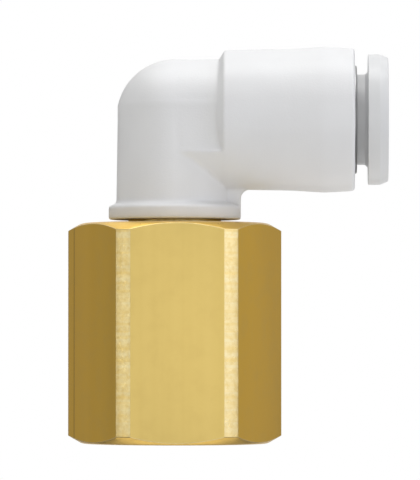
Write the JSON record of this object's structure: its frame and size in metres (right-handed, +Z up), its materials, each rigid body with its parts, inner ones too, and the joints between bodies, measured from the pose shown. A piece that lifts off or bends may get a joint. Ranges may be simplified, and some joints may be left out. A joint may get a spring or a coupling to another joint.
{
  "type": "push to connect fitting",
  "caption": "Female swivel elbow that joins a push-in plastic tube to a threaded pipe end, with a press-to-release button.",
  "frame": {"origin": "centre of the thread port's mouth, on the swivel axis, in the plane of the hexagon's lower face", "axes": "+Z up the swivel axis from the thread port to the elbow, +X along the tube socket and out of the release button, +Y completes the right-handed set"},
  "size_m": [0.0283, 0.0174, 0.0351],
  "materials": {
    "turned_brass": "turned hexagon bar, satin flats with fine drawing lines and bright turned corners",
    "white_pbt": "semi-matt moulded plastic, very slightly warm white",
    "white_acetal": "smooth satin moulded plastic, neutral white",
    "stainless_sleeve": "drawn stainless sheet, satin",
    "spring_steel": "bright spring stainless",
    "natural_acetal": "natural moulded acetal",
    "black_nbr": "matt black rubber with a thin film of grease"
  },
  "bodies": {
    "stud": {"hex_body": "turned_brass", "stud_o_ring": "black_nbr", "swivel_clip": "spring_steel"},
    "elbow": {"elbow_body": "white_pbt", "tube_seal": "black_nbr", "seal_backup_ring": "natural_acetal", "guide_sleeve": "stainless_sleeve"},
    "button": {"release_button": "white_acetal"},
    "collet": {"collet": "natural_acetal", "chuck": "spring_steel"}
  },
  "joints": [
    {"name": "elbow_swivel", "type": "hinge", "parent": "stud", "child": "elbow", "pos_m": [0, 0, 0.0198], "axis": [0, 0, 1], "continuous": true},
    {"name": "release_press", "type": "slide", "parent": "elbow", "child": "button", "axis": [-1, 0, 0], "range_m": [0, 0.00095], "stiffness_N_per_m": 800},
    {"name": "collet_slide", "type": "slide", "parent": "elbow", "child": "collet", "axis": [-1, 0, 0], "range_m": [0, 0.00058]}
  ],
  "couplings": [
    {"joint": "collet_slide", "follows": "release_press", "ratio": 0.6}
  ]
}
